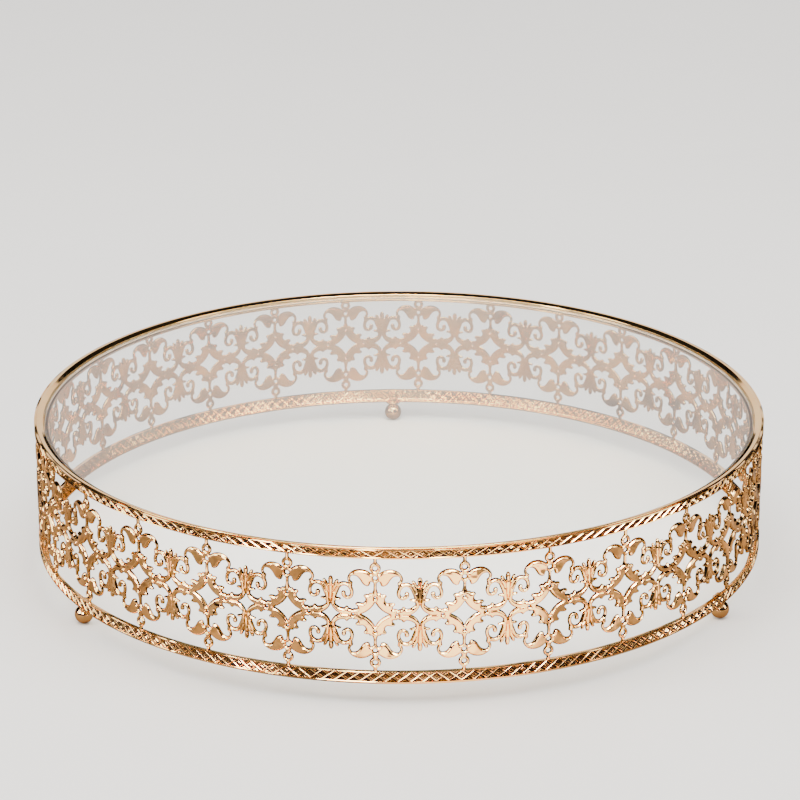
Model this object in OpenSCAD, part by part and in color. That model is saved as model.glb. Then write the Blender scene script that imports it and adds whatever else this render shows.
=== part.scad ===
// Round drum-shaped cake stand: a clear glass plate lies loose in a polished rim, carried by a
// wall of 28 filigree units between two lattice bands, on a base hoop with three ball feet.
// Origin: on the stand's axis, at the bottom of the ball feet. +Z up, -Y to the front.

/* [Overall] */
// Outer diameter over the lattice bands
outer_d = 400; // [390:1:410]
// Height of the rim's lip above the table
height = 84.8; // [82:0.1:90]

/* [Rim and glass] */
// Distance from the stand's outer edge to the edge of the glass
glass_inset = 5.6; // [5.2:0.1:8]
// Thickness of the glass plate
glass_t = 4; // [3:0.5:4.5]
// Depth of the glass below the top of the lip
glass_recess = 2; // [1.5:0.1:2.5]
// Gap around the glass, on the radius
glass_gap = 0.5; // [0.3:0.1:0.8]
// Width of the ledge that the glass rests on
ledge_w = 2.9; // [2:0.1:4]
// Thickness of the ledge
ledge_t = 1.2; // [0.8:0.1:1.4]

/* [Lattice bands] */
// Height of the lattice band under the lip
top_band_h = 4.8; // [4:0.1:6]
// Height of the lattice band on the base hoop
bottom_band_h = 5.9; // [5:0.1:7]
// Radial thickness of both bands, with their borders
band_t = 2.2; // [1.8:0.1:2.4]
// How far the borders of a band stand out
border_out = 0.5; // [0.3:0.1:0.8]
// Height of a border
border_h = 0.6; // [0.4:0.1:0.8]

/* [Filigree wall] */
// Thickness of a filigree unit
unit_t = 1.4; // [1:0.1:1.6]
// Radius of the drilled hole in each hub
hub_hole_r = 1; // [0.8:0.1:1.3]
// Radius of the hole in each eyelet
eyelet_hole_r = 1.3; // [1:0.1:1.6]
// Radius of the four pin holes around each diamond
pin_hole_r = 0.4; // [0.3:0.05:0.5]

/* [Base and feet] */
// Gap between the hoop and the table
hoop_z = 11; // [10.5:0.1:13]
// Thickness of the base hoop
hoop_t = 1; // [0.8:0.1:1.5]
// Radial width of the base hoop
hoop_w = 4.4; // [3.6:0.1:6]
// Radius of the lug around each foot screw
lug_r = 4.2; // [3.6:0.1:4.3]
// Diameter of a ball foot
ball_d = 10; // [9:0.5:10]
// Direction of the first foot, from +X
first_foot_angle = 91.2; // [85:0.1:95]
// Radius of the screw that holds a foot
screw_r = 1.5; // [1:0.25:1.5]

/* [Hidden] */
$fn = 96;

gold = [0.86, 0.66, 0.42];
deep_gold = [0.80, 0.60, 0.36];
clear = [0.86, 0.93, 0.92, 0.35];

outer_r = outer_d / 2;
band_in_r = outer_r - band_t;
glass_r = outer_r - glass_inset;

// Heights, from the table up
ball_r = ball_d / 2;
hoop_top = hoop_z + hoop_t;
wall_z0 = hoop_top + bottom_band_h;
glass_top = height - glass_recess;
glass_z = glass_top - glass_t;
ledge_z = glass_z - ledge_t;
lip_t = 0.5;
lip_z = height - lip_t;
wall_z1 = lip_z - top_band_h;
wall_mid = (wall_z0 + wall_z1) / 2;

// Rim section
lip_inset = 1.1;
lip_bevel = 0.6;
lip_w = 1.9;
lip_slope = 1.4;
skirt_t = 1.5;
lip_out_r = outer_r - lip_inset;
rim_bore_r = glass_r + glass_gap;
ledge_in_r = rim_bore_r - ledge_w;
skirt_r = rim_bore_r + skirt_t;
glass_chamfer = 0.4;

// Filigree units
unit_count = 28;
unit_angle = 360 / unit_count;
first_unit_angle = -93.3;
unit_in_r = band_in_r;
unit_out_r = band_in_r + unit_t;
half_unit = (unit_in_r + unit_out_r) / 2 * sin(unit_angle / 2);
half_h = (wall_z1 - wall_z0) / 2;
seam_gap = 0.01;

// How far a cutting shape reaches past the material it cuts
past = 1;

// Base hoop
hoop_inset = 0.6;
hoop_out_r = outer_r - hoop_inset;
hoop_in_r = hoop_out_r - hoop_w;

// Feet
foot_count = 3;
foot_r = outer_r - ball_r;
collar_r = 2.4;
screw_depth = 5;
screw_end_gap = 0.5;
screw_hole_gap = 0.2;
head_r = 2.6;
head_h = 1.6;
slot_w = 0.8;
slot_depth = 0.6;

// One quarter of a unit: x to the side of the unit's axis, y up from its middle.
// A stroke's points are [x, y, half width] along its middle.
scroll_stroke = [
    [15.9, 10.7, 1], [14.0, 8.7, 0.9], [11.8, 10.9, 0.9], [12.8, 15.9, 1.2], [16.6, 15.9, 1.2],
    [19.6, 12.6, 1.2], [21.0, 7.6, 1], [20.8, 5.8, 0.9]];
spur_stroke = [[16.9, 8.3, 0.4], [18.3, 8.0, 0.75], [20.4, 7.4, 0.9]];
side_petal_stroke = [[19.3, 18.2, 0.6], [19.9, 17.2, 0.8], [21.6, 14.0, 0.7]];
leaf = [
    [1.2, 21.7], [4.8, 23.8], [8.6, 24.2], [12.3, 22.5], [13.9, 19.6], [12.8, 16.2], [11.3, 16.6],
    [12.2, 19.7], [10.4, 20.7], [7.6, 18.5], [4.2, 15.1], [2.4, 16.1], [1.6, 17.7], [0.6, 17.7]];
leaf_base = [
    [9.8, 0], [9.8, 1.6], [12.0, 3.0], [14.1, 4.1], [15.4, 3.3], [17.4, 3.6], [20.4, 5.6],
    [22.9, 6.9], [22.9, 0]];
diamond = [
    [0, 11.4], [4.6, 10.5], [5.8, 9.5], [5.0, 7.2], [9.7, 5.6], [8.8, 3.4], [10.2, 1.6],
    [10.2, 0], [0, 0]];
// One side of the palmette on a seam: [distance from the seam, y]
palmette_side = [
    [0.3, 4.6], [1.2, 7.5], [2.7, 13.0], [3.0, 15.2], [2.4, 16.5], [1.1, 17.2], [0.9, 19.2],
    [0.4, 20.0]];
window_x = 6.9;
window_y = 6.3;
star_x = 4.5;
star_y = 5.0;
bow = 0.8;
pin_hole_x = 11.0;
pin_hole_y = 9.1;
hub_y = 19.7;
hub_r = 2.5;
upper_eyelet_y = 24.9;
lower_eyelet_y = 26.3;
eyelet_r = 2.9;
stem_y = 10;
stem_w = 1.4;
neck_w = 1.8;

// Unit vector from point a to point b
function towards(a, b) = [b[0] - a[0], b[1] - a[1]] / norm([b[0] - a[0], b[1] - a[1]]);

// Direction of a stroke at its point i
function heading(s, i) = towards(s[max(i - 1, 0)], s[min(i + 1, len(s) - 1)]);

// Point at one side of a stroke
function side_point(s, i, side) =
    [s[i][0] - side * s[i][2] * heading(s, i)[1], s[i][1] + side * s[i][2] * heading(s, i)[0]];

// Outline of a band of changing width along a line of points
function stroke(s) = concat([for (i = [0 : len(s) - 1]) side_point(s, i, 1)],
                            [for (i = [len(s) - 1 : -1 : 0]) side_point(s, i, -1)]);

// Twice the area inside an outline, negative when its points run clockwise
function turn(points, i = 0) = i == len(points) ? 0
    : cross(points[i], points[(i + 1) % len(points)]) + turn(points, i + 1);

// The same outline with its points run anticlockwise
function anticlockwise(points) = turn(points) > 0 ? points
    : [for (i = [len(points) - 1 : -1 : 0]) points[i]];

// Draws an outline, mirrored where mx or my is -1, at distance x from the unit's axis
module outline(points, mx = 1, my = 1, x = 0) {
    polygon(anticlockwise([for (p = points) [mx * (x + p[0]), my * p[1]]]));
}

// The palmette's outline, up one side of the seam and down the other
function palmette() = concat(palmette_side,
    [for (i = [len(palmette_side) - 1 : -1 : 0]) [-palmette_side[i][0], palmette_side[i][1]]]);

// Four-pointed hole whose sides bow inwards, with half diagonals a and b
module bowed_diamond(a, b) {
    m = [a, b] / 2;
    q = m - bow * [b, a] / norm([a, b]);
    polygon([[a, 0], q, [0, b], [-q[0], q[1]], [-a, 0], -q, [0, -b], [q[0], -q[1]]]);
}

// The parts of a unit that repeat in its four quarters
module quarter_outline(mx, my) {
    outline(stroke(scroll_stroke), mx, my);
    outline(stroke(spur_stroke), mx, my);
    outline(stroke(side_petal_stroke), mx, my);
    outline(palmette(), mx, my, half_unit);
    outline(leaf, mx, my);
    outline(leaf_base, mx, my);
    outline(diamond, mx, my);
}

// The parts that stand on a unit's axis, in its upper or lower half
module axis_outline(my) {
    eyelet_y = my > 0 ? upper_eyelet_y : lower_eyelet_y;
    translate([0, my * (half_h + eyelet_y) / 2])
        square([neck_w, half_h - eyelet_y], center = true);
    translate([0, my * eyelet_y]) circle(r = eyelet_r);
    translate([0, my * (eyelet_y + stem_y) / 2])
        square([stem_w, eyelet_y - stem_y], center = true);
    translate([0, my * hub_y]) circle(r = hub_r);
}

// The whole outline of one unit, with its holes
module unit_outline() {
    difference() {
        union() {
            for (mx = [-1, 1], my = [-1, 1]) quarter_outline(mx, my);
            for (my = [-1, 1]) axis_outline(my);
        }
        bowed_diamond(window_x, window_y);
        translate([0, upper_eyelet_y]) circle(r = eyelet_hole_r);
        translate([0, -lower_eyelet_y]) circle(r = eyelet_hole_r);
        for (side = [-1, 1]) {
            translate([side * half_unit, 0]) bowed_diamond(star_x, star_y);
            translate([0, side * hub_y]) circle(r = hub_hole_r);
            translate([0, side * pin_hole_y]) circle(r = pin_hole_r);
            translate([side * pin_hole_x, 0]) circle(r = pin_hole_r);
            // Trims the unit where it meets a band
            translate([0, side * (half_h + 2 * past)])
                square([4 * half_unit, 4 * past], center = true);
        }
    }
}

// The piece of the wall's ring between two seams, around the +X direction
module unit_sector() {
    tip = seam_gap / sin(unit_angle / 2);
    reach = unit_out_r + past;
    side = (reach - tip) * tan(unit_angle / 2);
    intersection() {
        difference() {
            cylinder(r = unit_out_r, h = 2 * (half_h + past), center = true);
            cylinder(r = unit_in_r, h = 2 * (half_h + 2 * past), center = true);
        }
        linear_extrude(height = 2 * (half_h + past), center = true)
            polygon([[tip, 0], [reach, -side], [reach, side]]);
    }
}

// One filigree unit: a cast piece, bent to the wall's radius
module wall_unit(i) {
    start_x = unit_in_r * cos(unit_angle / 2) - past;
    color(gold)
    rotate([0, 0, first_unit_angle + i * unit_angle])
        translate([0, 0, wall_mid])
            intersection() {
                translate([start_x, 0, 0]) rotate([90, 0, 90])
                    linear_extrude(height = unit_out_r + past - start_x) unit_outline();
                unit_sector();
            }
}

// Polished rim: the lip, the bore around the glass, and the ledge under it
module top_rim() {
    color(gold)
    rotate_extrude() polygon([
        [ledge_in_r, ledge_z], [skirt_r, ledge_z], [skirt_r, wall_z1], [band_in_r, wall_z1],
        [band_in_r, lip_z], [lip_out_r, lip_z], [lip_out_r - lip_bevel, height],
        [lip_out_r - lip_w, height], [rim_bore_r, height - lip_slope], [rim_bore_r, glass_z],
        [ledge_in_r, glass_z]]);
}

// Flat clear plate with a small chamfer at both edges
module glass_plate() {
    c = glass_chamfer;
    color(clear)
    rotate_extrude() polygon([
        [0, glass_z], [glass_r - c, glass_z], [glass_r, glass_z + c],
        [glass_r, glass_top - c], [glass_r - c, glass_top], [0, glass_top]]);
}

// A lattice band: a ring with a raised border at its top and bottom
module lattice_band(z, h) {
    face_r = outer_r - border_out;
    color(deep_gold)
    translate([0, 0, z]) rotate_extrude() polygon([
        [band_in_r, 0], [outer_r, 0], [outer_r, border_h], [face_r, border_h],
        [face_r, h - border_h], [outer_r, h - border_h], [outer_r, h], [band_in_r, h]]);
}

module top_lattice_band() {
    lattice_band(wall_z1, top_band_h);
}

module bottom_lattice_band() {
    lattice_band(hoop_top, bottom_band_h);
}

// Moves its children to foot i
module at_foot(i) {
    rotate([0, 0, first_foot_angle + i * 360 / foot_count]) translate([foot_r, 0, 0]) children();
}

// Flat hoop under the wall, with a drilled lug for each of the three foot screws
module base_hoop() {
    color(gold)
    difference() {
        union() {
            rotate_extrude() translate([hoop_in_r, hoop_z]) square([hoop_w, hoop_t]);
            for (i = [0 : foot_count - 1])
                at_foot(i) translate([0, 0, hoop_z]) cylinder(r = lug_r, h = hoop_t);
        }
        for (i = [0 : foot_count - 1])
            at_foot(i) translate([0, 0, hoop_z - past])
                cylinder(r = screw_r + screw_hole_gap, h = hoop_t + 2 * past);
    }
}

// Ball with a short collar, tapped from the top
module foot_ball(i) {
    color(gold)
    at_foot(i) difference() {
        union() {
            translate([0, 0, ball_r]) sphere(r = ball_r);
            translate([0, 0, ball_r]) cylinder(r = collar_r, h = hoop_z - ball_r);
        }
        translate([0, 0, hoop_z - screw_depth]) cylinder(r = screw_r, h = screw_depth + past);
    }
}

// One pan-head screw through the hoop into each ball
module foot_screws() {
    color(deep_gold)
    for (i = [0 : foot_count - 1])
        at_foot(i) {
            translate([0, 0, hoop_z - screw_depth + screw_end_gap])
                cylinder(r = screw_r, h = screw_depth - screw_end_gap + hoop_t);
            translate([0, 0, hoop_top]) difference() {
                cylinder(r = head_r, h = head_h);
                translate([0, 0, head_h])
                    cube([2 * (head_r + past), slot_w, 2 * slot_depth], center = true);
            }
        }
}

top_rim();
glass_plate();
top_lattice_band();
bottom_lattice_band();
base_hoop();
wall_unit(0);  // wall_unit_01
wall_unit(1);  // wall_unit_02
wall_unit(2);  // wall_unit_03
wall_unit(3);  // wall_unit_04
wall_unit(4);  // wall_unit_05
wall_unit(5);  // wall_unit_06
wall_unit(6);  // wall_unit_07
wall_unit(7);  // wall_unit_08
wall_unit(8);  // wall_unit_09
wall_unit(9);  // wall_unit_10
wall_unit(10);  // wall_unit_11
wall_unit(11);  // wall_unit_12
wall_unit(12);  // wall_unit_13
wall_unit(13);  // wall_unit_14
wall_unit(14);  // wall_unit_15
wall_unit(15);  // wall_unit_16
wall_unit(16);  // wall_unit_17
wall_unit(17);  // wall_unit_18
wall_unit(18);  // wall_unit_19
wall_unit(19);  // wall_unit_20
wall_unit(20);  // wall_unit_21
wall_unit(21);  // wall_unit_22
wall_unit(22);  // wall_unit_23
wall_unit(23);  // wall_unit_24
wall_unit(24);  // wall_unit_25
wall_unit(25);  // wall_unit_26
wall_unit(26);  // wall_unit_27
wall_unit(27);  // wall_unit_28
foot_ball(0);  // foot_ball_1
foot_ball(1);  // foot_ball_2
foot_ball(2);  // foot_ball_3
foot_screws();
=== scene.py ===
"""Looks of the round filigree cake stand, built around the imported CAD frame.

Lengths in the code are in millimetres unless a name says otherwise; MM turns them into metres.
"""
import math

import bpy
import numpy as np
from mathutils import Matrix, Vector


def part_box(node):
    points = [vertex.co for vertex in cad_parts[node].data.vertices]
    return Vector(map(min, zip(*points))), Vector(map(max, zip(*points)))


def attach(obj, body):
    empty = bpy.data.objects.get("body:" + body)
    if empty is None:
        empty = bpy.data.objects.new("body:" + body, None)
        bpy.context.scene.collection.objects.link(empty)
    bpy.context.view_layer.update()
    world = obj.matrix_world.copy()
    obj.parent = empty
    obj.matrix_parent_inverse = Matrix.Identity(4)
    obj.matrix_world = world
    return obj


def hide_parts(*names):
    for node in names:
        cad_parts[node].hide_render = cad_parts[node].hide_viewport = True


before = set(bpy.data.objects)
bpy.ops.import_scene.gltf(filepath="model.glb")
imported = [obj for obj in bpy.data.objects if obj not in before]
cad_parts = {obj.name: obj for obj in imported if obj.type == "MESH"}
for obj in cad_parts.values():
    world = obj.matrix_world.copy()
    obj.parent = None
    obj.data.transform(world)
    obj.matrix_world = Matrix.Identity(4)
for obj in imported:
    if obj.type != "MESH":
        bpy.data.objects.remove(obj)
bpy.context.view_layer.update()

MM = 0.001


# ---------------------------------------------------------------- sizes read from the frame
def extent(node):
    """Outer radius, lowest z and highest z of a round CAD node, in millimetres."""
    low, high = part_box(node)
    return max(high.x, -low.x, high.y, -low.y) / MM, low.z / MM, high.z / MM


LIP_R, LEDGE_Z, LIP_TOP = extent("top_rim")
GLASS_R, GLASS_Z, GLASS_TOP = extent("glass_plate")
BAND_R, TOP_BAND_Z, TOP_BAND_TOP = extent("top_lattice_band")
_, LOW_BAND_Z, LOW_BAND_TOP = extent("bottom_lattice_band")
HOOP_R, HOOP_Z, HOOP_TOP = extent("base_hoop")

UNITS = sorted(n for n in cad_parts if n.startswith("wall_unit_"))
FEET = sorted(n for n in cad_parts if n.startswith("foot_ball_"))
UNIT_ANGLE = 2 * math.pi / len(UNITS)
WALL_MID = (LOW_BAND_TOP + TOP_BAND_Z) / 2
WALL_HALF = (TOP_BAND_Z - LOW_BAND_TOP) / 2
BAND_T = 2.2
BAND_IN_R = BAND_R - BAND_T
WALL_IN_R = BAND_IN_R
HALF_UNIT = WALL_IN_R * math.tan(UNIT_ANGLE / 2)
SEGMENTS = 384


def centre_angle(node):
    """Direction of a CAD node's middle from the stand's axis, in radians."""
    low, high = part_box(node)
    middle = (low + high) / 2
    return math.atan2(middle.y, middle.x)


# ---------------------------------------------------------------- mesh helpers
def make_object(name, vertices, faces, sharp_deg=40):
    """A smooth-shaded mesh object with these vertices, in millimetres."""
    mesh = bpy.data.meshes.new(name)
    mesh.from_pydata((np.asarray(vertices, float) * MM).tolist(), [], faces)
    mesh.polygons.foreach_set("use_smooth", [True] * len(mesh.polygons))
    mesh.set_sharp_from_angle(angle=math.radians(sharp_deg))
    mesh.update()
    thing = bpy.data.objects.new(name, mesh)
    bpy.context.scene.collection.objects.link(thing)
    return thing


def arc(cx, cy, radius, start_deg, end_deg, steps):
    """Points along an arc, both ends included."""
    angles = np.radians(np.linspace(start_deg, end_deg, steps + 1))
    return [(cx + radius * math.cos(a), cy + radius * math.sin(a)) for a in angles]


def rounded(points, radii, steps=6, hold=0.25):
    """A closed outline with each corner replaced by a curve of the given size.

    A point is held just beside each curve, so that the flats next to it shade flat.
    """
    out = []
    count = len(points)
    for i, (point, size) in enumerate(zip(points, radii)):
        here = np.array(point, float)
        if size <= 0:
            out.append(tuple(here))
            continue
        before = np.array(points[i - 1], float) - here
        after = np.array(points[(i + 1) % count], float) - here
        reach = min(size, 0.49 * np.linalg.norm(before), 0.49 * np.linalg.norm(after))
        toward_a, toward_b = before / np.linalg.norm(before), after / np.linalg.norm(after)
        a, b = here + toward_a * reach, here + toward_b * reach
        if np.linalg.norm(before) > 2 * (reach + hold):
            out.append(tuple(a + toward_a * hold))
        for t in np.linspace(0, 1, steps + 1):
            out.append(tuple((1 - t) ** 2 * a + 2 * t * (1 - t) * here + t * t * b))
        if np.linalg.norm(after) > 2 * (reach + hold):
            out.append(tuple(b + toward_b * hold))
    return out


def lathe(name, outline, segments, closed=True, sharp_deg=40):
    """Turns an outline of (radius, z) points about the z axis. Points at radius 0 become a pole."""
    rings, vertices = [], []
    angles = np.linspace(0, 2 * math.pi, segments, endpoint=False)
    for r, z in outline:
        if r < 1e-6:
            rings.append([len(vertices)] * segments)
            vertices.append((0, 0, z))
            continue
        rings.append(list(range(len(vertices), len(vertices) + segments)))
        vertices += [(r * math.cos(a), r * math.sin(a), z) for a in angles]
    pairs = list(zip(rings, rings[1:] + rings[:1])) if closed else list(zip(rings, rings[1:]))
    faces = []
    for low, high in pairs:
        for i in range(segments):
            j = (i + 1) % segments
            corners = [low[i], low[j], high[j], high[i]]
            corners = list(dict.fromkeys(corners))
            if len(corners) > 2:
                faces.append(corners)
    return make_object(name, vertices, faces, sharp_deg)


def ring(angles, radius, z):
    """Points at these angles round the z axis. The radius is one number, or one for each angle."""
    radius = np.broadcast_to(radius, angles.shape)
    return np.column_stack([radius * np.cos(angles), radius * np.sin(angles),
                            np.full(len(angles), z)])


def ring_quads(rings, count):
    """Faces that join each ring of points to the next, and the last ring to the first.

    Each comes with the number of its lower ring and its place along that ring.
    """
    for k in range(rings):
        low, high = k * count, (k + 1) % rings * count
        for i in range(count):
            j = (i + 1) % count
            yield k, i, [low + i, low + j, high + j, high + i]


# ---------------------------------------------------------------- filigree outlines
# One quarter of a unit: x to the side of the unit's axis, y up from its middle.
# Outline points are (x, y), with a third number 1 at a sharp corner.
LEAF = [
    (0.0, 21.6), (1.8, 22.0, 1), (3.0, 22.9), (5.0, 23.9), (7.6, 24.3), (10.2, 23.8),
    (12.5, 22.2), (13.8, 20.0), (13.8, 18.1), (13.0, 16.6), (12.1, 16.0), (11.3, 16.4),
    (11.2, 17.2), (11.9, 17.7), (12.4, 18.6), (12.3, 19.7), (11.6, 20.6), (10.5, 20.7),
    (9.0, 20.2), (7.7, 18.7), (6.7, 17.0), (5.6, 15.8), (4.1, 15.1, 1), (3.1, 15.4),
    (2.7, 16.2), (2.2, 17.1), (1.3, 17.7), (0.0, 17.8)]
DIAMOND = [
    (0.0, 11.6), (1.2, 11.2), (2.4, 10.7), (3.7, 10.9), (5.0, 10.8), (5.8, 10.0), (5.4, 9.2, 1),
    (5.0, 8.6), (4.9, 7.6), (5.3, 6.9, 1), (6.2, 6.2), (7.6, 6.4), (9.2, 6.3), (10.0, 5.5),
    (9.7, 4.9, 1), (9.0, 4.3), (8.8, 3.4), (9.2, 2.7, 1), (10.3, 1.9), (11.0, 0.8), (11.1, 0.0),
    (11.1, -3.0, 1), (-3.0, -3.0, 1), (-3.0, 11.6, 1)]
LEAF_BASE = [
    (10.6, -2.0, 1), (10.6, 1.2), (11.2, 2.3), (12.0, 2.9), (13.0, 3.1), (13.7, 4.0), (14.6, 4.1),
    (15.4, 3.3), (16.6, 3.3), (18.2, 3.8), (19.8, 5.0), (21.2, 6.2), (22.6, 6.8), (24.0, 6.8, 1),
    (24.0, -2.0, 1)]
# Stroke points are (x, y, half width) along the middle of a band.
SCROLL = [
    (15.8, 11.1, 1.2), (15.6, 9.8, 1.05), (14.0, 8.7, 0.95), (12.3, 9.4, 0.95),
    (11.6, 11.5, 0.95), (12.2, 14.0, 1.0), (13.9, 15.8, 1.1), (16.2, 16.1, 1.2),
    (18.3, 14.8, 1.25), (19.5, 12.2, 1.25), (20.4, 9.5, 1.15), (20.9, 7.3, 1.0),
    (20.7, 5.6, 0.85)]
SPUR = [(17.5, 7.9, 0.45), (18.3, 7.9, 0.7), (19.4, 7.7, 0.85), (20.6, 7.0, 0.7)]
LEAF_TIP = [(12.2, 16.7, 0.85), (12.0, 15.4, 0.7), (12.5, 14.6, 0.6)]
SIDE_PETAL = [(19.0, 17.6, 0.75), (19.5, 16.7, 0.95), (20.3, 15.3, 0.85), (21.2, 13.8, 0.6)]
CENTRE_PETAL = [(0.0, 19.1, 0.8), (0.0, 17.9, 1.15), (0.0, 16.1, 0.95), (0.0, 14.7, 0.7),
                (0.0, 13.7, 0.85), (0.0, 12.3, 0.9), (0.0, 8.5, 0.7), (0.0, 5.6, 0.45)]
# Solid back of the palmette on a seam: (distance from the seam, y)
CREST = [(0.0, 15.6), (1.2, 15.4), (2.2, 15.2), (2.5, 14.4), (2.0, 12.6), (1.4, 10.0), (1.0, 7.5),
         (0.6, 5.8), (0.0, 5.2)]
# The upright along the unit's axis, from the diamond to the leaves
STEM = [(0.0, 9.0, 1.3), (0.0, 11.6, 1.25), (0.0, 13.0, 0.8), (0.0, 15.0, 0.68),
        (0.0, 17.2, 0.8), (0.0, 18.6, 1.6), (0.0, 20.8, 1.9), (0.0, 22.6, 1.4), (0.0, 23.6, 1.3)]
HUB_Y, HUB_HOLE_R = 19.7, 1.0
# Heights of the two eyelets on the unit's axis
EYELETS = (24.9, -26.3)
EYELET_R, EYELET_HOLE_R = 2.9, 1.15
NECK_HALF, NECK_END = 0.9, 1.5
# Small holes: (x, y, radius)
PIN_HOLES = ((0.0, 9.1, 0.42), (11.0, 0.0, 0.42), (1.8, 17.0, 0.65))
# Openings in the middle of a unit and on a seam: half width, half height, bow of the sides
WINDOW = (7.0, 6.4, 0.9)
STAR = (4.5, 5.0, 0.8)
# Lines cut into the front of the palmette and of the leaf base: points as (distance from the
# seam, y), and the depth
GROOVES = [
    ([(0.35, 5.6), (0.75, 9.0), (1.0, 12.5), (1.0, 13.8), (1.2, 15.0), (1.65, 16.6)], 0.9),
    ([(1.9, 11.8), (2.5, 13.4), (3.4, 14.8), (4.2, 15.9)], 0.7),
    ([(5.4, 0.0), (8.6, 0.0)], 0.5)]
GROOVE_W = 0.32

# Thickness of a unit at its highest, at its edge, and at its least in a groove
UNIT_T, BASE_T, MIN_T = 2.0, 0.55, 0.35
# How far in from the edge the front and the back are rounded
EDGE_R, BACK_R = 1.35, 0.45
BACK_ROUND = 0.25
# Fillet between strokes that meet
BLEND = 0.45
# Cell of the grid that the unit's mesh is cut from
GRID = 0.28


# ---------------------------------------------------------------- filigree fields
def catmull(p0, p1, p2, p3, t):
    """Point between p1 and p2 on the smooth curve through four points."""
    return 0.5 * (2 * p1 + (p2 - p0) * t + (2 * p0 - 5 * p1 + 4 * p2 - p3) * t * t
                  + (3 * p1 - p0 - 3 * p2 + p3) * t ** 3)


def smooth_outline(keys, steps=6):
    """A closed curve through the keys, with a corner where a key's third number is 1."""
    points = [np.array(k[:2], float) for k in keys]
    corner = [len(k) > 2 and k[2] == 1 for k in keys]
    n = len(points)
    out = []
    for i in range(n):
        j = (i + 1) % n
        p0 = points[i] if corner[i] else points[i - 1]
        p3 = points[j] if corner[j] else points[(j + 1) % n]
        for t in np.arange(steps) / steps:
            out.append(catmull(p0, points[i], points[j], p3, t))
    return np.array(out)


def smooth_stroke(keys, steps=6):
    """An open curve through the keys; width changes smoothly along it."""
    keys = [np.array(k, float) for k in keys]
    ends = [2 * keys[0] - keys[1]] + keys + [2 * keys[-1] - keys[-2]]
    out = []
    for i in range(len(keys) - 1):
        for t in np.arange(steps) / steps:
            out.append(catmull(*ends[i:i + 4], t))
    return np.array(out + [keys[-1]])


def along_segments(x, y, a, b):
    """Squared distance from each point to the segment a-b, and the share along it."""
    d = b[:2] - a[:2]
    share = np.clip(((x - a[0]) * d[0] + (y - a[1]) * d[1]) / max(d @ d, 1e-12), 0, 1)
    return (x - a[0] - share * d[0]) ** 2 + (y - a[1] - share * d[1]) ** 2, share


def outline_field(x, y, points):
    """Signed distance to a closed outline, negative inside."""
    best = np.full(x.shape, 1e9)
    inside = np.zeros(x.shape, bool)
    for a, b in zip(points, np.roll(points, -1, axis=0)):
        squared, _ = along_segments(x, y, a, b)
        best = np.minimum(best, squared)
        if a[1] != b[1]:
            crosses = (a[1] > y) != (b[1] > y)
            inside ^= crosses & (x < (b[0] - a[0]) * (y - a[1]) / (b[1] - a[1]) + a[0])
    return np.where(inside, -1, 1) * np.sqrt(best)


def stroke_field(x, y, points):
    """Signed distance to a band of changing width, negative inside."""
    best = np.full(x.shape, 1e9)
    for a, b in zip(points[:-1], points[1:]):
        squared, share = along_segments(x, y, a, b)
        best = np.minimum(best, np.sqrt(squared) - (a[2] + share * (b[2] - a[2])))
    return best


def disc_field(x, y, cx, cy, radius):
    """Signed distance to a disc, negative inside."""
    return np.hypot(x - cx, y - cy) - radius


def bowed_diamond_field(x, y, cx, cy, a, b, bow):
    """Four-pointed shape whose sides bow inwards, with half diagonals a and b."""
    u, v = np.abs(x - cx), np.abs(y - cy)
    side = math.hypot(a, b)
    radius = (side * side / 4 + bow * bow) / (2 * bow)
    away = np.array([a, b]) / 2 + np.array([b, a]) / side * (radius - bow)
    inside_corner = np.maximum(u / a + v / b - 1, -1) * a * b / side
    return np.maximum(radius - np.hypot(u - away[0], v - away[1]), inside_corner)


def blended(a, b, k=BLEND):
    """Union of two fields with a small fillet where they meet."""
    h = np.maximum(k - np.abs(a - b), 0) / k
    return np.minimum(a, b) - h * h * k / 4


def quarter_field(x, y):
    """The metal of one quarter of a unit, before its holes."""
    field = outline_field(x, y, smooth_outline(LEAF))
    for points in (DIAMOND, LEAF_BASE):
        field = blended(field, outline_field(x, y, smooth_outline(points)))
    for keys in (SCROLL, SPUR, LEAF_TIP, SIDE_PETAL, STEM):
        field = blended(field, stroke_field(x, y, smooth_stroke(keys)))
    petal = [(HALF_UNIT, k[1], k[2]) for k in CENTRE_PETAL]
    field = blended(field, stroke_field(x, y, smooth_stroke(petal)))
    crest = [(HALF_UNIT - s, v) for s, v in CREST]
    crest += [(HALF_UNIT + s, v) for s, v in CREST[-2:0:-1]]
    return blended(field, outline_field(x, y, smooth_outline(crest)))


def unit_field(x, y):
    """The metal of a whole unit at points of its right half, holes included."""
    v = np.abs(y)
    field = quarter_field(x, v)
    for a, b in ((-x, v), (x, -v), (2 * HALF_UNIT - x, v)):
        field = blended(field, quarter_field(a, b))
    for middle in EYELETS:
        way = math.copysign(1, middle)
        # The neck from the eyelet to the band is a little wider at both ends.
        neck = [(0, middle + way * EYELET_R * 0.6, NECK_END),
                (0, middle + way * (EYELET_R + 0.5), NECK_HALF),
                (0, way * (WALL_HALF - 0.7), NECK_HALF), (0, way * (WALL_HALF + 0.8), NECK_END)]
        field = blended(field, disc_field(x, y, 0, middle, EYELET_R))
        field = blended(field, stroke_field(x, y, np.array(neck)))
        field = np.maximum(field, -disc_field(x, y, 0, middle, EYELET_HOLE_R))
    field = np.maximum(field, -bowed_diamond_field(x, v, 0, 0, *WINDOW))
    field = np.maximum(field, -bowed_diamond_field(x, v, HALF_UNIT, 0, *STAR))
    for hole in ((0, HUB_Y, HUB_HOLE_R), *PIN_HOLES):
        field = np.maximum(field, -disc_field(x, v, *hole))
    return field


# ---------------------------------------------------------------- filigree mesh
def mirrored(half):
    """A whole unit's grid from its right half. Rows run along x."""
    return np.concatenate([half[:0:-1], half], axis=0)


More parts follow.
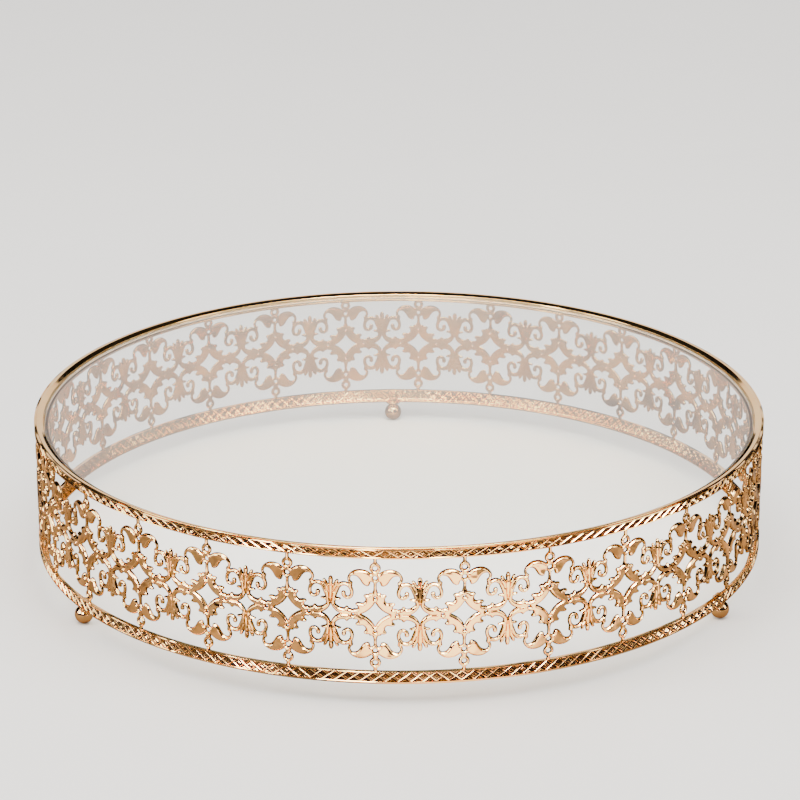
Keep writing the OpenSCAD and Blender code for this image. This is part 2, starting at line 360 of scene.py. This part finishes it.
def dome(share):
    """Rounded profile: 0 at the edge, 1 from share 1 inwards."""
    t = np.clip(share, 0, 1)
    return 1 - (1 - t) ** 2


def spread_max(values, steps):
    """Largest value within a square of this many cells around each cell."""
    out = values
    for axis in (0, 1):
        source = out
        for shift in range(1, steps + 1):
            for way in (shift, -shift):
                moved = np.roll(source, way, axis)
                edge = [slice(None)] * 2
                edge[axis] = slice(0, shift) if way > 0 else slice(-shift, None)
                moved[tuple(edge)] = 0
                out = np.maximum(out, moved)
    return out


def relief(x, y, depth, width):
    """Height of a unit's front, from the distance to its edge and the half width around.

    Thin strokes are rounded over most of their width, and stand lower than broad ones.
    """
    reach = np.clip(0.85 * width, 0.35, EDGE_R)
    top = BASE_T + (UNIT_T - BASE_T) * np.clip(width / EDGE_R, 0.5, 1) ** 0.8
    height = BASE_T + (top - BASE_T) * dome(depth / reach)
    x, y = np.abs(x), np.abs(y)
    for line, cut in GROOVES:
        points = smooth_stroke([(HALF_UNIT - s, v, 0) for s, v in line])
        height -= cut * np.exp(-(stroke_field(x, y, points) / GROOVE_W) ** 2)
    return np.maximum(height, MIN_T)


def contour_segments(xs, ys, field):
    """Line pieces of the field's zero contour on a grid, as rows of x0, y0, x1, y1."""
    out = []
    for i in range(len(xs) - 1):
        column = field[i:i + 2]
        for j in range(len(ys) - 1):
            cell = column[:, j:j + 2]
            if (cell > 0).all() or (cell <= 0).all():
                continue
            corners = [(i, j), (i + 1, j), (i + 1, j + 1), (i, j + 1)]
            cuts = []
            for (ai, aj), (bi, bj) in zip(corners, corners[1:] + corners[:1]):
                a, b = field[ai, aj], field[bi, bj]
                if (a > 0) != (b > 0):
                    t = a / (a - b)
                    cuts.append((xs[ai] + t * (xs[bi] - xs[ai]), ys[aj] + t * (ys[bj] - ys[aj])))
            for k in range(0, len(cuts) - 1, 2):
                out.append((*cuts[k], *cuts[k + 1]))
    return np.array(out)


def depth_inside(x, y, segments):
    """Distance from each point to the nearest piece of contour."""
    best = np.full(x.shape, 1e9)
    for row in segments:
        squared, _ = along_segments(x, y, row[:2], row[2:])
        best = np.minimum(best, squared)
    return np.sqrt(best)


def unit_grid():
    """A whole unit on a grid: x, y, field, distance to the edge and half width around."""
    nx, ny = round(HALF_UNIT / GRID), round(2 * WALL_HALF / GRID)
    xs, ys = np.linspace(0, HALF_UNIT, nx + 1), np.linspace(-WALL_HALF, WALL_HALF, ny + 1)
    x, y = np.meshgrid(xs, ys, indexing="ij")
    field = unit_field(x, y)
    gx, gy = np.gradient(field, xs, ys)
    steep = np.maximum(np.hypot(gx, gy), 0.3)
    # Grid points close to the edge move onto it, so that no cell is a sliver.
    near = np.abs(field) < 0.3 * GRID
    move_x, move_y = -field * gx / steep ** 2, -field * gy / steep ** 2
    move_x[[0, -1], :] = 0
    move_y[:, [0, -1]] = 0
    x = x + np.where(near, move_x, 0)
    y = y + np.where(near, move_y, 0)
    segments = contour_segments(xs, ys, field)
    field = np.where(near, 0, field)
    left = segments * (-1, 1, -1, 1)
    flips = np.concatenate([segments, left, left + (2 * HALF_UNIT, 0, 2 * HALF_UNIT, 0)])
    depth = np.zeros(x.shape)
    metal = field < 0
    depth[metal] = depth_inside(x[metal], y[metal], flips)

    field, depth = mirrored(field), mirrored(depth)
    width = spread_max(depth, round(EDGE_R / GRID))
    x, y = mirrored(x), mirrored(y)
    x[:nx] *= -1
    return x, y, field, depth, width


def unit_mesh():
    """A flat filigree unit: its points, their distance to the edge, half widths, and faces."""
    x, y, field, depth, width = unit_grid()
    vertices, index, faces = [], {}, []

    def corner(i, j):
        if (i, j) not in index:
            index[i, j] = len(vertices)
            vertices.append((x[i, j], y[i, j], depth[i, j], width[i, j]))
        return index[i, j]

    def cut(a, b):
        a, b = min(a, b), max(a, b)
        if (a, b) not in index:
            t = field[a] / (field[a] - field[b])
            index[a, b] = len(vertices)
            vertices.append((x[a] + t * (x[b] - x[a]), y[a] + t * (y[b] - y[a]), 0, width[a]))
        return index[a, b]

    for i in range(field.shape[0] - 1):
        for j in range(field.shape[1] - 1):
            cell = [(i, j), (i + 1, j), (i + 1, j + 1), (i, j + 1)]
            if min(field[c] for c in cell) >= 0:
                continue
            face = []
            for k, here in enumerate(cell):
                after = cell[(k + 1) % 4]
                if field[here] <= 0:
                    face.append(corner(*here))
                if field[here] * field[after] < 0:
                    face.append(cut(here, after))
            if len(face) > 2:
                faces.append(face)
    points = np.array(vertices)
    return points[:, :2], points[:, 2], points[:, 3], faces


def closed_shell(flat, front, back, faces):
    """Front and back surfaces over the same flat faces, joined by walls along their edges."""
    count = len(flat)
    vertices = np.concatenate([np.column_stack([flat, front]), np.column_stack([flat, back])])
    edges = dict.fromkeys(pair for face in faces for pair in zip(face, face[1:] + face[:1]))
    walls = [[b, a, a + count, b + count] for a, b in edges if (b, a) not in edges]
    backs = [[v + count for v in reversed(face)] for face in faces]
    return vertices, faces + backs + walls


def bent(vertices, inner_r, around):
    """Bends flat (x, y, height) vertices round the stand's axis, with x = 0 towards +X."""
    angle = vertices[:, 0] / around
    r = inner_r + vertices[:, 2]
    return np.column_stack([r * np.cos(angle), r * np.sin(angle), WALL_MID + vertices[:, 1]])


def set_attribute(thing, name, values):
    """Gives a mesh one number at each vertex, for its material to read."""
    attribute = thing.data.attributes.new(name, "FLOAT", "POINT")
    attribute.data.foreach_set("value", np.asarray(values, np.float32))


def build_wall(material):
    """One filigree piece for each CAD wall unit, all sharing a mesh."""
    flat, depth, width, faces = unit_mesh()
    front = relief(flat[:, 0], flat[:, 1], depth, width)
    back = BACK_ROUND * (1 - dome(depth / BACK_R))
    vertices, faces = closed_shell(flat, front, back, faces)
    around = HALF_UNIT / (UNIT_ANGLE / 2)
    vertices = bent(vertices, WALL_IN_R, around)
    first = make_object("filigree_01", vertices, faces, sharp_deg=60)
    # The relief sets where the material paints shade; the back gets none.
    set_attribute(first, "relief", np.concatenate([front / UNIT_T, np.ones(len(front))]))
    first.data.materials.append(material)
    for number, node in enumerate(UNITS, 1):
        piece = first
        if number > 1:
            piece = bpy.data.objects.new(f"filigree_{number:02d}", first.data)
            bpy.context.scene.collection.objects.link(piece)
        piece.rotation_euler.z = centre_angle(node)
        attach(piece, "frame")
        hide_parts(node)


# ---------------------------------------------------------------- lattice bands
DIAMONDS = 7 * len(UNITS)
CELLS = 14
# Height of the plain border above and below the pattern, and its rounding
BORDER_H, BORDER_ROUND = 0.6, 0.35
BORDER_ROWS = 5
# Depth of the pattern's ground outside, how far its ridges stay below the borders, and the
# height of its mark inside
BAND_RELIEF, RIDGE_GAP, INNER_RELIEF = 0.85, 0.12, 0.55
INNER_ROWS = 10


def lattice_height(column, row):
    """Relief of the diamond pattern from 0 to 1. A diamond is CELLS columns wide and rows high."""
    u = np.abs((column / (CELLS / 2) + 1) % 2 - 1)
    v = np.abs(row / (CELLS / 2) - 1)
    a = u + v
    a = np.minimum(a, 2 - a)
    ridge = np.clip(1.25 * (1 - (1 - a) / 0.3), 0, 1)
    boss = np.clip(1.2 * (1 - np.abs(a - 0.34) / 0.2), 0, 0.85)
    return np.maximum(ridge, boss)


def border_rows(edge, way):
    """(radius, z) points of a band's rounded border, from its edge inwards."""
    turns = np.linspace(0, math.pi, BORDER_ROWS)
    return [(BAND_R - BORDER_ROUND * (1 - math.sin(t)), edge + way * BORDER_H * (1 - math.cos(t)) / 2)
            for t in turns]


def band_rings(z0, z1, angles):
    """Rings of points round a band's section, each with its relief from 0 to 1, which sets the
    painted shade.
    """
    column = np.arange(len(angles))
    plain = np.ones(len(angles))
    rings = [(ring(angles, r, z), plain) for r, z in border_rows(z0, 1)]
    for row in range(CELLS + 1):
        lift = lattice_height(column, row)
        z = z0 + BORDER_H + (z1 - z0 - 2 * BORDER_H) * row / CELLS
        rings.append((ring(angles, BAND_R - BAND_RELIEF + (BAND_RELIEF - RIDGE_GAP) * lift, z), lift))
    rings += [(ring(angles, r, z), plain) for r, z in border_rows(z1, -1)[::-1]]
    for k in range(INNER_ROWS + 1):
        lift = lattice_height(column, CELLS * (1 - k / INNER_ROWS))
        if k in (0, INNER_ROWS):
            lift = np.zeros(len(angles))
        z = z1 + (z0 - z1) * k / INNER_ROWS
        # Inside, the number falls in the grooves behind the ridges, where the material paints shade.
        rings.append((ring(angles, BAND_IN_R + INNER_RELIEF * lift, z), 1 - 0.6 * lift))
    return rings


def build_band(name, node, z0, z1, material):
    """A closed ring with the stamped diamond pattern outside and its mark inside."""
    columns = DIAMONDS * CELLS
    angles = np.arange(columns) * 2 * math.pi / columns
    rings = band_rings(z0, z1, angles)
    faces = []
    for k, i, (a, b, c, d) in ring_quads(len(rings), columns):
        row = k - BORDER_ROWS
        if not 0 <= row < CELLS:
            faces.append([a, b, c, d])
            continue
        # Each cell is split along the ridge that crosses it.
        right, upper = i % CELLS < CELLS // 2, row >= CELLS // 2
        if right == upper:
            faces += [[a, b, d], [b, c, d]]
        else:
            faces += [[a, b, c], [a, c, d]]
    band = make_object(name, np.concatenate([points for points, _ in rings]), faces, sharp_deg=28)
    set_attribute(band, "relief", np.concatenate([lift for _, lift in rings]))
    band.data.materials.append(material)
    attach(band, "frame")
    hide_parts(node)


# ---------------------------------------------------------------- turned pieces
# Gap round the glass, width of the ledge under it, and wall of the skirt round its bore
GLASS_GAP, LEDGE_W, SKIRT_T = 0.5, 2.9, 1.5
GLASS_EDGE = 0.5
# Width of the lip's flat ring with its edge, and the drop of the bevel down to the glass
LIP_W, BEVEL_H = 1.7, 1.05
# Width of the hoop, and its lugs: their radius, half angle and number of points
HOOP_W = 4.4
LUG_R, LUG_REACH, LUG_POINTS = 4.2, math.radians(1.8), 41
COLLAR_R = 2.4


def build_rim(material):
    """The polished rim: rounded lip, bore round the glass, and ledge."""
    bore = GLASS_R + GLASS_GAP
    ledge_in = bore - LEDGE_W
    skirt = bore + SKIRT_T
    points = [
        (ledge_in, LEDGE_Z), (skirt, LEDGE_Z), (skirt, TOP_BAND_Z), (BAND_IN_R, TOP_BAND_Z),
        (BAND_IN_R, TOP_BAND_TOP), (LIP_R, TOP_BAND_TOP), (LIP_R - 0.15, LIP_TOP - 0.05),
        (LIP_R - LIP_W, LIP_TOP), (bore, LIP_TOP - BEVEL_H), (bore, GLASS_Z), (ledge_in, GLASS_Z)]
    sizes = [0.3, 0.3, 0, 0, 0, 0.2, 0.6, 0.5, 0.3, 0.1, 0.3]
    rim = lathe("rim_lip", rounded(points, sizes), SEGMENTS, sharp_deg=35)
    rim.data.materials.append(material)
    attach(rim, "frame")
    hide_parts("top_rim")


def build_glass(material):
    """Clear plate with ground edges."""
    points = [(0, GLASS_Z), (GLASS_R, GLASS_Z), (GLASS_R, GLASS_TOP), (0, GLASS_TOP)]
    outline = rounded(points, [0, GLASS_EDGE, GLASS_EDGE, 0])
    plate = lathe("glass_disc", outline, SEGMENTS, closed=False, sharp_deg=30)
    face_r = GLASS_R - GLASS_EDGE - 0.1
    flat = [math.hypot(v.co.x, v.co.y) < face_r * MM for v in plate.data.vertices]
    set_attribute(plate, "face", flat)
    plate.data.materials.append(material)
    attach(plate, "glass")
    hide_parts("glass_plate")


def hoop_inside(inner):
    """Angles round the hoop, closer at its lugs, and the inner radius at each."""
    angles = np.linspace(0, 2 * math.pi, SEGMENTS, endpoint=False)
    for node in FEET:
        foot = centre_angle(node) % (2 * math.pi)
        away = np.abs((angles - foot + math.pi) % (2 * math.pi) - math.pi)
        lug = foot + np.linspace(-LUG_REACH, LUG_REACH, LUG_POINTS)
        angles = np.append(angles[away > LUG_REACH], lug)
    angles = np.sort(angles % (2 * math.pi))
    inner_r = np.full(len(angles), inner)
    for node in FEET:
        low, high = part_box(node)
        middle = (low + high) / 2
        foot_r = math.hypot(middle.x, middle.y) / MM
        swing = angles - centre_angle(node)
        inside = np.maximum(LUG_R ** 2 - (foot_r * np.sin(swing)) ** 2, 0)
        lug_r = foot_r * np.cos(swing) - np.sqrt(inside)
        near = (inside > 0) & (np.cos(swing) > 0)
        inner_r = np.where(near, np.minimum(inner_r, lug_r), inner_r)
    return angles, inner_r


def build_hoop(material):
    """Flat base hoop with softened edges and a round lug inwards at each foot screw."""
    inner = HOOP_R - HOOP_W
    angles, inner_r = hoop_inside(inner)
    points = [(inner, HOOP_Z), (HOOP_R, HOOP_Z), (HOOP_R, HOOP_TOP), (inner, HOOP_TOP)]
    outline = rounded(points, [0.3, 0.35, 0.2, 0.35], 4)
    vertices = []
    for r, z in outline:
        on_inner_edge = r < (inner + HOOP_R) / 2
        vertices.append(ring(angles, r + (inner_r - inner if on_inner_edge else 0), z))
    faces = [quad for _, _, quad in ring_quads(len(outline), len(angles))]
    hoop = make_object("hoop", np.concatenate(vertices), faces, sharp_deg=35)
    hoop.data.materials.append(material)
    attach(hoop, "frame")
    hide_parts("base_hoop")


def build_feet(material):
    """Three ball feet, each a ball that flows into its collar."""
    for number, node in enumerate(FEET, 1):
        low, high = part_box(node)
        middle = (low + high) / 2
        ball = (high.x - low.x) / 2 / MM
        top = high.z / MM
        meet = math.degrees(math.acos((COLLAR_R + 0.5) / ball))
        outline = [(0.0, 0.0)] + arc(0, ball, ball, -90, meet, 22)[1:]
        waist = outline[-1][1]
        outline += [(COLLAR_R + 0.1, waist + 0.35), (COLLAR_R, top - 0.45),
                    (COLLAR_R + 0.3, top - 0.15), (COLLAR_R + 0.35, top), (0.0, top)]
        foot = lathe(f"ball_{number}", outline, 48, closed=False, sharp_deg=50)
        foot.location = (middle.x, middle.y, 0)
        foot.data.materials.append(material)
        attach(foot, "frame")
        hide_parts(node)


def dress_screws(material):
    """The foot screws keep their CAD shape and only get a material."""
    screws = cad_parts["foot_screws"]
    screws.data.materials.clear()
    screws.data.materials.append(material)


# ---------------------------------------------------------------- materials
class Nodes:
    """Short hand for building the node tree of a material or a world."""

    def __init__(self, owner):
        owner.use_nodes = True
        self.owner = owner
        self.tree = owner.node_tree
        self.shader = self.tree.nodes.get("Principled BSDF")

    def add(self, kind, **settings):
        """Adds a node. Settings that start with a capital are its sockets' values."""
        node = self.tree.nodes.new(kind)
        for key, value in settings.items():
            if key[0].isupper():
                node.inputs[key].default_value = value
            else:
                setattr(node, key, value)
        return node

    def link(self, source, target):
        """Joins an output to an input."""
        self.tree.links.new(source, target)

    def noise(self, scale, detail=3.0, roughness=0.55):
        """Noise over the whole stand, so that no two of its equal pieces look the same."""
        place = self.add("ShaderNodeNewGeometry")
        noise = self.add("ShaderNodeTexNoise", Scale=scale, Detail=detail, Roughness=roughness)
        self.link(place.outputs["Position"], noise.inputs["Vector"])
        return noise.outputs["Fac"]

    def remap(self, value, from_min, from_max, to_min, to_max, **settings):
        """Maps one range of a value to another, clamped at both ends."""
        node = self.add("ShaderNodeMapRange", **settings)
        for socket, number in (("From Min", from_min), ("From Max", from_max),
                               ("To Min", to_min), ("To Max", to_max)):
            node.inputs[socket].default_value = number
        self.link(value, node.inputs["Value"])
        return node.outputs["Result"]

    def spread(self, value, low, high):
        """Stretches the middle of a noise's range to low to high."""
        return self.remap(value, 0.3, 0.7, low, high)

    def combine(self, operation, first, second, **settings):
        """One arithmetic step on two values."""
        node = self.add("ShaderNodeMath", operation=operation, **settings)
        self.link(first, node.inputs[0])
        self.link(second, node.inputs[1])
        return node.outputs[0]

    def mix(self, factor, first, second):
        """Colour between two colours by a factor."""
        node = self.add("ShaderNodeMix", data_type="RGBA")
        for socket, colour in ((node.inputs[6], first), (node.inputs[7], second)):
            if hasattr(colour, "is_linked"):
                self.link(colour, socket)
            else:
                socket.default_value = (*colour, 1)
        self.link(factor, node.inputs[0])
        return node.outputs[2]

    def mix_shaders(self, factor, first, second):
        """Shader between two shaders by a factor."""
        node = self.add("ShaderNodeMixShader")
        for socket, source in zip(node.inputs, (factor, first, second)):
            self.link(source, socket)
        return node.outputs[0]

    def bump(self, height, distance):
        """Adds a surface wave this many metres high on top of those added before."""
        node = self.add("ShaderNodeBump", Distance=distance)
        self.link(height, node.inputs["Height"])
        target = self.shader.inputs["Normal"]
        if target.is_linked:
            self.link(target.links[0].from_socket, node.inputs["Normal"])
        self.link(node.outputs["Normal"], target)


PALE_GOLD = (0.99, 0.67, 0.30)
WARM_GOLD = (0.93, 0.58, 0.23)
# Colour of the painted shade in recesses and grooves
RECESS_SHADE_GOLD = (0.09, 0.05, 0.022)
# Middle of the glowing patch in front of the stand that only reflections see, in metres
PATCH_PLACE = (0.06, -0.37, 0)


def gold_material(name, rough_low, rough_high, sway=0.0, dent=0.0, recess_shade=0.0):
    """Polished gold plating: slow colour drift, uneven polish, waves, and painted shade that darkens
    the low relief of recesses and grooves.
    """
    n = Nodes(bpy.data.materials.new(name))
    n.shader.inputs["Metallic"].default_value = 1.0
    colour = n.mix(n.spread(n.noise(45), 0, 1), PALE_GOLD, WARM_GOLD)
    if recess_shade:
        # Painted shade: the lower the relief, the darker the colour, made patchy by noise.
        height = n.add("ShaderNodeAttribute", attribute_name="relief").outputs["Fac"]
        depth = n.remap(height, 0.35, 0.78, recess_shade, 0)
        dark = n.combine("MULTIPLY", depth, n.spread(n.noise(14, 1), 0.75, 1.5), use_clamp=True)
        colour = n.mix(dark, colour, RECESS_SHADE_GOLD)
    n.link(colour, n.shader.inputs["Base Color"])
    n.link(n.spread(n.noise(220, 4), rough_low, rough_high), n.shader.inputs["Roughness"])
    if sway:
        n.bump(n.noise(20, 1), sway)
    if dent:
        n.bump(n.noise(160, 1), dent)
    return n.owner


def glass_material():
    """Clear float glass with a ground edge. Lamps shine straight through it."""
    n = Nodes(bpy.data.materials.new("clear_glass"))
    n.shader.inputs["Transmission Weight"].default_value = 1.0
    n.shader.inputs["IOR"].default_value = 1.52
    colour = n.mix(n.spread(n.noise(6), 0, 1), (0.965, 0.985, 0.975), (0.955, 0.98, 0.97))
    n.link(colour, n.shader.inputs["Base Color"])
    face = n.add("ShaderNodeAttribute", attribute_name="face").outputs["Fac"]
    n.link(n.remap(face, 0, 1, 0.45, 0), n.shader.inputs["Roughness"])
    clear = n.add("ShaderNodeBsdfTransparent", Color=(0.93, 0.95, 0.94, 1))
    ray = n.add("ShaderNodeLightPath")
    mix = n.mix_shaders(ray.outputs["Is Shadow Ray"], n.shader.outputs[0], clear.outputs[0])
    n.link(mix, n.tree.nodes["Material Output"].inputs["Surface"])
    return n.owner


def floor_material():
    """Matt pale floor. Reflection rays see a painted reflection instead: a dark wooden table with one
    glowing patch.
    """
    n = Nodes(bpy.data.materials.new("pale_floor"))
    colour = n.mix(n.spread(n.noise(3), 0, 1), (0.88, 0.875, 0.865), (0.86, 0.855, 0.845))
    reflected_wood = n.mix(n.spread(n.noise(11, 2), 0, 1), (0.006, 0.003, 0.0015), (0.42, 0.27, 0.165))
    place = n.add("ShaderNodeNewGeometry")
    far = n.add("ShaderNodeVectorMath", operation="DISTANCE")
    far.inputs[1].default_value = PATCH_PLACE
    n.link(place.outputs["Position"], far.inputs[0])
    patch = n.remap(far.outputs["Value"], 0.12, 0.19, 1, 0, interpolation_type="SMOOTHSTEP")
    mirrored_floor = n.mix(patch, reflected_wood, (0.95, 0.93, 0.9))
    # Painted reflection: reflection rays see dark wood and a bright patch in place of the pale floor.
    ray = n.add("ShaderNodeLightPath")
    in_mirror = n.combine("MULTIPLY", ray.outputs["Is Glossy Ray"], ray.outputs["Is Reflection Ray"])
    n.link(n.mix(in_mirror, colour, mirrored_floor), n.shader.inputs["Base Color"])
    # The patch glows only for reflection rays though it is no lamp: a painted highlight on the gold.
    n.link(n.combine("MULTIPLY", in_mirror, patch), n.shader.inputs["Emission Strength"])
    n.shader.inputs["Emission Color"].default_value = (2.1, 1.25, 0.55, 1)
    n.shader.inputs["Roughness"].default_value = 0.7
    n.shader.inputs["Specular IOR Level"].default_value = 0.2
    return n.owner


# ---------------------------------------------------------------- stage
def build_floor():
    """Plain pale floor, 12 metres square."""
    half = 6.0
    mesh = bpy.data.meshes.new("floor")
    mesh.from_pydata([(-half, -half, 0), (half, -half, 0), (half, half, 0), (-half, half, 0)],
                     [], [(0, 1, 2, 3)])
    floor = bpy.data.objects.new("floor", mesh)
    bpy.context.scene.collection.objects.link(floor)
    floor.data.materials.append(floor_material())


def add_light(name, place, aim, size, power, colour):
    """A rectangular soft light at place, pointing at aim, in metres and watts."""
    lamp = bpy.data.lights.new(name, "AREA")
    lamp.shape = "RECTANGLE"
    lamp.size, lamp.size_y = size
    lamp.energy = power
    lamp.color = colour
    thing = bpy.data.objects.new(name, lamp)
    bpy.context.scene.collection.objects.link(thing)
    thing.location = place
    to = [a - p for a, p in zip(aim, place)]
    flat = math.hypot(to[0], to[1])
    thing.rotation_euler = (math.atan2(flat, -to[2]), 0, math.atan2(-to[0], to[1]))
    return thing


def build_lights():
    """Soft boxes; the sparkle lights are seen only by polished surfaces."""
    add_light("overhead", (0.0, -0.4, 1.9), (0, 0, 0), (2.2, 1.3), 60, (1.0, 0.97, 0.93))
    add_light("left_box", (-1.8, -0.4, 1.0), (0, 0, 0.05), (0.6, 1.2), 18, (1.0, 0.94, 0.86))
    add_light("right_box", (1.8, -0.5, 1.0), (0, 0, 0.05), (0.6, 1.2), 14, (1.0, 0.94, 0.86))
    add_light("back_wall", (0.0, 2.6, 0.95), (0, 0, 0.05), (3.4, 0.8), 13, (1.0, 0.91, 0.85))
    for name, place, size, power in (
            ("sparkle_top", (0.2, -0.9, 1.7), (1.1, 0.5), 90),
            ("sparkle_front", (-0.6, -2.4, 1.3), (1.0, 0.6), 60),
            ("sparkle_side", (-1.5, -1.0, 0.9), (0.25, 0.8), 20)):
        lamp = add_light(name, place, (0, 0, 0.05), size, power, (1.0, 0.95, 0.87))
        lamp.visible_diffuse = False


def build_world():
    """Pale studio sky. Reflections see it dark round the horizon and behind the stand."""
    world = bpy.data.worlds.new("studio")
    bpy.context.scene.world = world
    n = Nodes(world)
    split = n.add("ShaderNodeSeparateXYZ")
    n.link(n.add("ShaderNodeTexCoord").outputs["Generated"], split.inputs[0])
    ramp = n.add("ShaderNodeValToRGB")
    n.link(split.outputs["Z"], ramp.inputs["Fac"])
    stops = ((0.0, 0.012), (0.45, 0.015), (0.6, 0.5), (0.85, 0.7))
    for k, (at, grey) in enumerate(stops):
        stop = ramp.color_ramp.elements[k] if k < 2 else ramp.color_ramp.elements.new(at)
        stop.position = at
        stop.color = (grey, grey * 0.97, grey * 0.93, 1)
    mirrored_sky = n.tree.nodes["Background"]
    n.link(ramp.outputs["Color"], mirrored_sky.inputs["Color"])
    n.link(n.remap(split.outputs["Y"], -0.1, 0.15, 0.9, 0.03), mirrored_sky.inputs["Strength"])
    pale_sky = n.add("ShaderNodeBackground", Color=(1.15, 1.14, 1.12, 1))
    ray = n.add("ShaderNodeLightPath")
    plain = n.combine("MAXIMUM", ray.outputs["Is Camera Ray"], ray.outputs["Is Diffuse Ray"])
    mix = n.mix_shaders(plain, mirrored_sky.outputs[0], pale_sky.outputs[0])
    n.link(mix, n.tree.nodes["World Output"].inputs["Surface"])


def build_camera():
    """Long lens in front of the stand, looking down at it by 20.5 degrees."""
    lens = bpy.data.cameras.new("camera")
    lens.sensor_width = 36
    lens.lens = 144.94
    lens.clip_end = 20
    camera = bpy.data.objects.new("camera", lens)
    bpy.context.scene.collection.objects.link(camera)
    camera.location = (0.0035, -1.6602, 0.7104)
    camera.rotation_euler = (math.radians(90 - 20.54), 0, math.radians(0.102))
    bpy.context.scene.camera = camera


# ---------------------------------------------------------------- assembly
polished = gold_material("polished_gold", 0.05, 0.11)
cast = gold_material("cast_gold", 0.06, 0.13, sway=0.016, dent=0.0004, recess_shade=0.85)
lattice = gold_material("lattice_gold", 0.08, 0.18, sway=0.012, recess_shade=0.86)

build_wall(cast)
build_band("lattice_top", "top_lattice_band", TOP_BAND_Z, TOP_BAND_TOP, lattice)
build_band("lattice_bottom", "bottom_lattice_band", LOW_BAND_Z, LOW_BAND_TOP, lattice)
build_rim(polished)
build_glass(glass_material())
build_hoop(polished)
build_feet(polished)
dress_screws(gold_material("screw_gold", 0.18, 0.3))

build_floor()
build_lights()
build_world()
build_camera()
